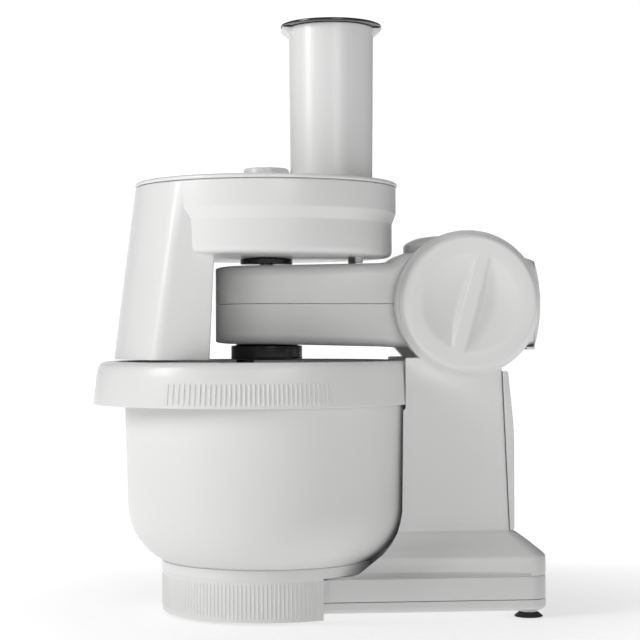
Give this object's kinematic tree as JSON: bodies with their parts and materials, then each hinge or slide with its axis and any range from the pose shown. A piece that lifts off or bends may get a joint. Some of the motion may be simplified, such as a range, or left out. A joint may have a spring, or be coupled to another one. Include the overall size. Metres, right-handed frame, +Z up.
{
  "type": "stand mixer",
  "caption": "Stand mixer with swivel arm, control knob, plastic bowl and a continuous-feed shredder with chute, lid, feed tube and pusher on the arm.",
  "frame": {"origin": "on the floor, under the centre of the bounding box", "axes": "+X from the bowl grip to the rear of the base, -Y is the side with the control knob, +Z up"},
  "size_m": [0.3246, 0.2216, 0.4316],
  "materials": {
    "white_plastic": "glossy moulded white ABS",
    "inner_nylon": "natural nylon",
    "black_plastic": "glossy black",
    "foot_rubber": "soft dark grey rubber",
    "belt_rubber": "ribbed belt rubber",
    "steel": "machined steel",
    "bronze": "sintered bronze",
    "copper_windings": "varnished copper",
    "circuit_board": "green solder mask"
  },
  "bodies": {
    "base": {"base_shell": "white_plastic", "bottom_pan": "white_plastic", "pedestal_ring": "white_plastic", "rear_cover": "white_plastic", "belt_cover": "white_plastic", "switch_bezel": "white_plastic", "suction_foot_1": "foot_rubber", "suction_foot_2": "foot_rubber", "suction_foot_3": "foot_rubber", "suction_foot_4": "foot_rubber", "motor_stator": "steel", "motor_bracket_near": "steel", "motor_bracket_far": "steel", "motor_bearing_near": "steel", "motor_bearing_far": "steel", "brush_holder_front": "black_plastic", "brush_holder_rear": "black_plastic", "control_board": "circuit_board", "speed_switch": "black_plastic", "cord_gland": "black_plastic", "drive_belt": "belt_rubber", "pivot_pin": "steel", "pivot_sleeve": "steel"},
    "knob": {"control_knob": "white_plastic"},
    "button": {"release_button": "white_plastic", "release_spring": "steel"},
    "pawl": {"lock_pawl": "steel"},
    "rotor": {"motor_shaft": "steel", "armature": "copper_windings", "commutator": "copper_windings", "cooling_fan": "inner_nylon", "motor_pulley": "black_plastic"},
    "pivot_drive": {"pivot_shaft": "steel", "pivot_pulley": "inner_nylon", "arm_pulley": "inner_nylon"},
    "arm": {"arm_upper_shell": "white_plastic", "arm_lower_shell": "white_plastic", "arm_end_cap": "white_plastic", "pivot_bush_near": "bronze", "pivot_bush_far": "bronze", "arm_belt": "belt_rubber", "gearbox_plate": "steel", "main_bearing": "bronze", "ring_gear": "inner_nylon"},
    "worm": {"worm_shaft": "steel", "worm_pulley": "inner_nylon"},
    "main_drive": {"main_shaft": "steel", "worm_wheel": "bronze", "top_coupling": "black_plastic", "planet_carrier": "black_plastic"},
    "tool": {"tool_socket": "black_plastic"},
    "rear_drive": {"rear_coupling": "black_plastic"},
    "cover": {"drive_cover": "white_plastic"},
    "housing": {"shredder_housing": "white_plastic"},
    "disc": {"disc_holder": "inner_nylon", "shredding_disc": "steel"},
    "lid": {"shredder_lid": "white_plastic"},
    "pusher": {"pusher": "white_plastic", "pusher_cap": "black_plastic"},
    "bowl": {"mixing_bowl": "white_plastic"}
  },
  "joints": [
    {"name": "knob_turn", "type": "hinge", "parent": "base", "child": "knob", "pos_m": [0.107, 0, 0.225], "axis": [0, 1, 0], "range_deg": [-35, 120]},
    {"name": "arm_tilt", "type": "hinge", "parent": "base", "child": "arm", "pos_m": [0.107, 0, 0.225], "axis": [0, 1, 0], "range_deg": [0, 85]},
    {"name": "release_press", "type": "slide", "parent": "base", "child": "button", "axis": [-1, 0, 0], "range_m": [0, 0.004], "stiffness_N_per_m": 600, "springref_m": -0.003},
    {"name": "lock_slide", "type": "slide", "parent": "base", "child": "pawl", "axis": [0, 0, -1], "range_m": [0, 0.004]},
    {"name": "motor_spin", "type": "hinge", "parent": "base", "child": "rotor", "pos_m": [0.107, 0, 0.1], "axis": [0, 1, 0], "continuous": true},
    {"name": "pivot_spin", "type": "hinge", "parent": "base", "child": "pivot_drive", "pos_m": [0.107, 0, 0.225], "axis": [0, 1, 0], "continuous": true},
    {"name": "worm_spin", "type": "hinge", "parent": "arm", "child": "worm", "pos_m": [-0.005, 0, 0.23], "axis": [0, 1, 0], "continuous": true},
    {"name": "main_spin", "type": "hinge", "parent": "arm", "child": "main_drive", "pos_m": [-0.035, 0, 0.225], "axis": [0, 0, 1], "continuous": true},
    {"name": "tool_spin", "type": "hinge", "parent": "main_drive", "child": "tool", "pos_m": [-0.051, 0, 0.19], "axis": [0, 0, 1], "continuous": true},
    {"name": "rear_drive_spin", "type": "hinge", "parent": "arm", "child": "rear_drive", "pos_m": [0.104, 0, 0.262], "axis": [0, 0, 1], "continuous": true},
    {"name": "drive_cover_lift", "type": "slide", "parent": "arm", "child": "cover", "axis": [0, 0, 1], "range_m": [0, 0.02]},
    {"name": "shredder_lift", "type": "slide", "parent": "arm", "child": "housing", "axis": [0, 0, 1], "range_m": [0, 0.08]},
    {"name": "disc_spin", "type": "hinge", "parent": "housing", "child": "disc", "pos_m": [-0.035, 0, 0.296], "axis": [0, 0, 1], "continuous": true},
    {"name": "lid_lift", "type": "slide", "parent": "housing", "child": "lid", "axis": [0, 0, 1], "range_m": [0, 0.03]},
    {"name": "pusher_lift", "type": "slide", "parent": "lid", "child": "pusher", "axis": [0, 0, 1], "range_m": [0, 0.13]},
    {"name": "bowl_turn", "type": "hinge", "parent": "base", "child": "bowl", "pos_m": [-0.035, 0, 0.0342], "axis": [0, 0, 1], "range_deg": [0, 15]}
  ],
  "couplings": [
    {"joint": "lock_slide", "follows": "release_press", "ratio": 1},
    {"joint": "pivot_spin", "follows": "motor_spin", "ratio": 0.375},
    {"joint": "worm_spin", "follows": "motor_spin", "ratio": 0.375},
    {"joint": "rear_drive_spin", "follows": "motor_spin", "ratio": 0.375},
    {"joint": "main_spin", "follows": "motor_spin", "ratio": 0.023438},
    {"joint": "disc_spin", "follows": "motor_spin", "ratio": 0.023438},
    {"joint": "tool_spin", "follows": "motor_spin", "ratio": -0.070312}
  ]
}
